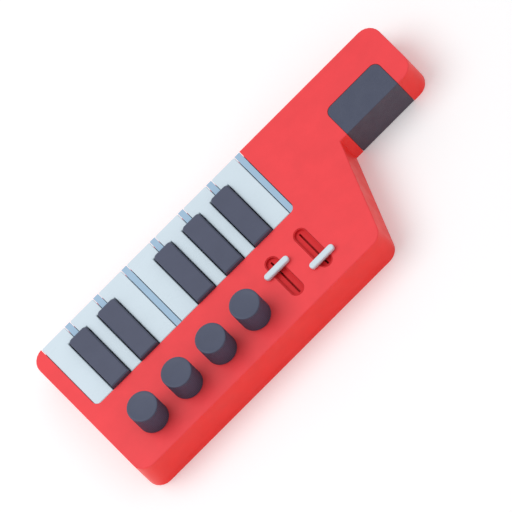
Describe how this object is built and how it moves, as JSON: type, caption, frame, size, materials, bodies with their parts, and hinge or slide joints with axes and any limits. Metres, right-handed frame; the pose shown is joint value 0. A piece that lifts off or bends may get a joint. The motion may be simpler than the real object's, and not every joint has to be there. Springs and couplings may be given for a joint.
{
  "type": "keytar",
  "caption": "Toy electronic keytar: a flat moulded body with a short neck and a rubber grip, sprung piano keys, round knobs and slider controls.",
  "frame": {"origin": "on the rear face, under the middle of the body's outline", "axes": "+X towards the end of the neck, +Y towards the front edge of the keys, +Z out of the playing face"},
  "size_m": [0.48, 0.196, 0.0816],
  "materials": {
    "shell_red": "moulded red plastic, satin gloss",
    "cover_red": "moulded red plastic, fine texture",
    "well_dark_red": "moulded dark red plastic",
    "key_pale": "moulded pale blue-white plastic",
    "bed_blue": "moulded light blue plastic",
    "key_slate": "moulded slate plastic",
    "knob_slate": "moulded slate plastic",
    "grip_rubber": "soft-touch slate rubber",
    "steel": "plated steel",
    "board": "green solder mask",
    "contact_rubber": "silicone rubber",
    "speaker_paper": "pressed paper",
    "cell_wrap": "plain wrapped cell, no mark"
  },
  "bodies": {
    "casing": {"front_shell": "shell_red", "rear_cover": "cover_red", "key_bed": "bed_blue", "neck_grip": "grip_rubber", "slider_well_1": "well_dark_red", "slider_well_2": "well_dark_red", "battery_door": "cover_red", "strap_button_1": "steel", "strap_button_2": "steel", "contact_strip": "contact_rubber", "key_circuit_board": "board", "control_circuit_board": "board", "key_hinge_rod": "steel", "potentiometer_body_1": "steel", "potentiometer_body_2": "steel", "potentiometer_body_3": "steel", "potentiometer_body_4": "steel", "slide_potentiometer_1": "steel", "slide_potentiometer_2": "steel", "speaker_frame": "steel", "speaker_cone": "speaker_paper", "speaker_magnet": "steel", "battery_cell_1": "cell_wrap", "battery_cell_2": "cell_wrap", "battery_cell_3": "cell_wrap", "battery_spring_contact": "steel", "battery_flat_contact": "steel", "case_screw_1": "steel", "case_screw_2": "steel", "case_screw_3": "steel", "case_screw_4": "steel", "case_screw_5": "steel", "case_screw_6": "steel", "battery_door_screw": "steel"},
    "white_key_e": {"white_key_e": "key_pale"},
    "white_key_d": {"white_key_d": "key_pale"},
    "white_key_c": {"white_key_c": "key_pale"},
    "white_key_b": {"white_key_b": "key_pale"},
    "white_key_a": {"white_key_a": "key_pale"},
    "white_key_g": {"white_key_g": "key_pale"},
    "white_key_f": {"white_key_f": "key_pale"},
    "black_key_d_sharp": {"black_key_d_sharp": "key_slate"},
    "black_key_c_sharp": {"black_key_c_sharp": "key_slate"},
    "black_key_a_sharp": {"black_key_a_sharp": "key_slate"},
    "black_key_g_sharp": {"black_key_g_sharp": "key_slate"},
    "black_key_f_sharp": {"black_key_f_sharp": "key_slate"},
    "knob_1": {"knob_1": "knob_slate", "potentiometer_shaft_1": "steel"},
    "knob_2": {"knob_2": "knob_slate", "potentiometer_shaft_2": "steel"},
    "knob_3": {"knob_3": "knob_slate", "potentiometer_shaft_3": "steel"},
    "knob_4": {"knob_4": "knob_slate", "potentiometer_shaft_4": "steel"},
    "slider_1": {"slider_cap_1": "key_pale", "slider_lever_1": "steel"},
    "slider_2": {"slider_cap_2": "key_pale", "slider_lever_2": "steel"}
  },
  "joints": [
    {"name": "white_key_e_press", "type": "hinge", "parent": "casing", "child": "white_key_e", "pos_m": [-0.2125, -0.008, 0.039], "axis": [-1, 0, 0], "range_deg": [0, 3], "stiffness_Nm_per_rad": 0.5, "springref_deg": -5.73},
    {"name": "white_key_d_press", "type": "hinge", "parent": "casing", "child": "white_key_d", "pos_m": [-0.168, -0.008, 0.039], "axis": [-1, 0, 0], "range_deg": [0, 3], "stiffness_Nm_per_rad": 0.5, "springref_deg": -5.73},
    {"name": "white_key_c_press", "type": "hinge", "parent": "casing", "child": "white_key_c", "pos_m": [-0.1235, -0.008, 0.039], "axis": [-1, 0, 0], "range_deg": [0, 3], "stiffness_Nm_per_rad": 0.5, "springref_deg": -5.73},
    {"name": "white_key_b_press", "type": "hinge", "parent": "casing", "child": "white_key_b", "pos_m": [-0.0925, -0.008, 0.039], "axis": [-1, 0, 0], "range_deg": [0, 3], "stiffness_Nm_per_rad": 0.5, "springref_deg": -5.73},
    {"name": "white_key_a_press", "type": "hinge", "parent": "casing", "child": "white_key_a", "pos_m": [-0.048, -0.008, 0.039], "axis": [-1, 0, 0], "range_deg": [0, 3], "stiffness_Nm_per_rad": 0.5, "springref_deg": -5.73},
    {"name": "white_key_g_press", "type": "hinge", "parent": "casing", "child": "white_key_g", "pos_m": [-0.008, -0.008, 0.039], "axis": [-1, 0, 0], "range_deg": [0, 3], "stiffness_Nm_per_rad": 0.5, "springref_deg": -5.73},
    {"name": "white_key_f_press", "type": "hinge", "parent": "casing", "child": "white_key_f", "pos_m": [0.0365, -0.008, 0.039], "axis": [-1, 0, 0], "range_deg": [0, 3], "stiffness_Nm_per_rad": 0.5, "springref_deg": -5.73},
    {"name": "black_key_d_sharp_press", "type": "hinge", "parent": "casing", "child": "black_key_d_sharp", "pos_m": [-0.188, -0.008, 0.039], "axis": [-1, 0, 0], "range_deg": [0, 3], "stiffness_Nm_per_rad": 0.5, "springref_deg": -5.73},
    {"name": "black_key_c_sharp_press", "type": "hinge", "parent": "casing", "child": "black_key_c_sharp", "pos_m": [-0.148, -0.008, 0.039], "axis": [-1, 0, 0], "range_deg": [0, 3], "stiffness_Nm_per_rad": 0.5, "springref_deg": -5.73},
    {"name": "black_key_a_sharp_press", "type": "hinge", "parent": "casing", "child": "black_key_a_sharp", "pos_m": [-0.068, -0.008, 0.039], "axis": [-1, 0, 0], "range_deg": [0, 3], "stiffness_Nm_per_rad": 0.5, "springref_deg": -5.73},
    {"name": "black_key_g_sharp_press", "type": "hinge", "parent": "casing", "child": "black_key_g_sharp", "pos_m": [-0.028, -0.008, 0.039], "axis": [-1, 0, 0], "range_deg": [0, 3], "stiffness_Nm_per_rad": 0.5, "springref_deg": -5.73},
    {"name": "black_key_f_sharp_press", "type": "hinge", "parent": "casing", "child": "black_key_f_sharp", "pos_m": [0.012, -0.008, 0.039], "axis": [-1, 0, 0], "range_deg": [0, 3], "stiffness_Nm_per_rad": 0.5, "springref_deg": -5.73},
    {"name": "knob_1_turn", "type": "hinge", "parent": "casing", "child": "knob_1", "pos_m": [-0.192, -0.0552, 0.048], "axis": [0, 0, 1], "range_deg": [-135, 135]},
    {"name": "knob_2_turn", "type": "hinge", "parent": "casing", "child": "knob_2", "pos_m": [-0.144, -0.0552, 0.048], "axis": [0, 0, 1], "range_deg": [-135, 135]},
    {"name": "knob_3_turn", "type": "hinge", "parent": "casing", "child": "knob_3", "pos_m": [-0.096, -0.0552, 0.048], "axis": [0, 0, 1], "range_deg": [-135, 135]},
    {"name": "knob_4_turn", "type": "hinge", "parent": "casing", "child": "knob_4", "pos_m": [-0.048, -0.0552, 0.048], "axis": [0, 0, 1], "range_deg": [-135, 135]},
    {"name": "slider_1_slide", "type": "slide", "parent": "casing", "child": "slider_1", "axis": [0, 1, 0], "range_m": [-0.0315, 0.0105]},
    {"name": "slider_2_slide", "type": "slide", "parent": "casing", "child": "slider_2", "axis": [0, 1, 0], "range_m": [-0.0042, 0.0378]}
  ]
}
